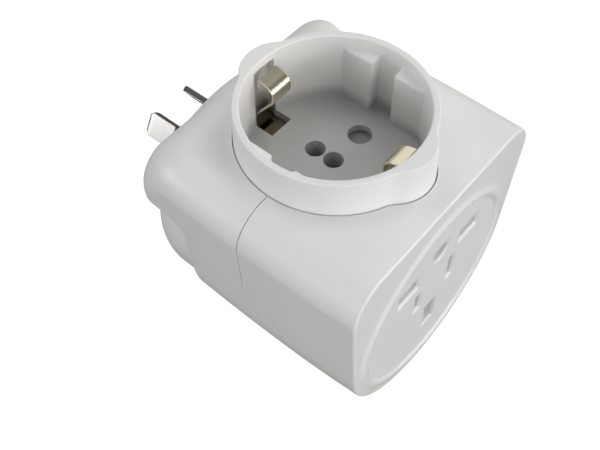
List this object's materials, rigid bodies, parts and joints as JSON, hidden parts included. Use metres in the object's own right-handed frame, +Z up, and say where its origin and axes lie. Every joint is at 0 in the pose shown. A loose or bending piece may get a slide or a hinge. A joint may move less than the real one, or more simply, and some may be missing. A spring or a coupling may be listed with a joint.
{
  "type": "travel adapter",
  "caption": "Travel adapter: flat-pin plug behind, recessed earthed round socket on top, multi-standard flat-pin socket in the front face.",
  "frame": {"origin": "centre of the plug's face, where it meets the wall outlet", "axes": "+X out of the wall towards the front socket, +Y to the left of someone facing the wall outlet's far side, +Z up towards the round socket"},
  "size_m": [0.0854, 0.0626, 0.0707],
  "materials": {
    "case_plastic": "fine satin",
    "inner_plastic": "satin",
    "sleeve_black": "satin",
    "pin_metal": "satin nickel plate",
    "contact_brass": "satin rolled strip",
    "spring_steel": "zinc plated"
  },
  "bodies": {
    "case": {"front_shell": "case_plastic", "rear_shell": "case_plastic", "socket_plate": "case_plastic", "schuko_cup": "case_plastic", "plug_base": "case_plastic", "line_pin": "pin_metal", "neutral_pin": "pin_metal", "earth_pin": "pin_metal", "line_pin_sleeve": "sleeve_black", "neutral_pin_sleeve": "sleeve_black", "earth_strap": "contact_brass", "cup_earth_contact": "contact_brass", "cup_line_contact": "contact_brass", "cup_neutral_contact": "contact_brass", "cup_contact_carrier": "inner_plastic", "cup_shutter_spring": "spring_steel", "front_shutter_springs": "spring_steel", "front_contact_carrier": "inner_plastic", "front_line_contact": "contact_brass", "front_neutral_contact": "contact_brass", "front_earth_contact": "contact_brass", "line_busbar": "contact_brass", "neutral_busbar": "contact_brass", "earth_busbar": "contact_brass", "case_screws": "spring_steel", "carrier_screws": "spring_steel"},
    "front_shutter": {"front_shutter": "inner_plastic"},
    "cup_shutter": {"cup_shutter": "inner_plastic"},
    "rear_clip": {"rear_earth_clip": "contact_brass"},
    "front_clip": {"front_earth_clip": "contact_brass"}
  },
  "joints": [
    {"name": "front_shutter_slide", "type": "slide", "parent": "case", "child": "front_shutter", "axis": [0, 0, 1], "range_m": [0, 0.0082], "stiffness_N_per_m": 120, "springref_m": -0.004, "deforming": ["front_shutter_springs"]},
    {"name": "cup_shutter_turn", "type": "hinge", "parent": "case", "child": "cup_shutter", "pos_m": [0.0353, 0, 0.0198], "axis": [0, 0, 1], "range_deg": [0, 36], "stiffness_Nm_per_rad": 0.01, "springref_deg": -17.19},
    {"name": "rear_clip_flex", "type": "hinge", "parent": "case", "child": "rear_clip", "pos_m": [0.0158, 0, 0.0204], "axis": [0, -1, 0], "range_deg": [0, 8], "stiffness_Nm_per_rad": 0.5, "springref_deg": -2.86},
    {"name": "front_clip_flex", "type": "hinge", "parent": "case", "child": "front_clip", "pos_m": [0.0548, 0, 0.0204], "axis": [0, 1, 0], "range_deg": [0, 8], "stiffness_Nm_per_rad": 0.5, "springref_deg": -2.86}
  ]
}
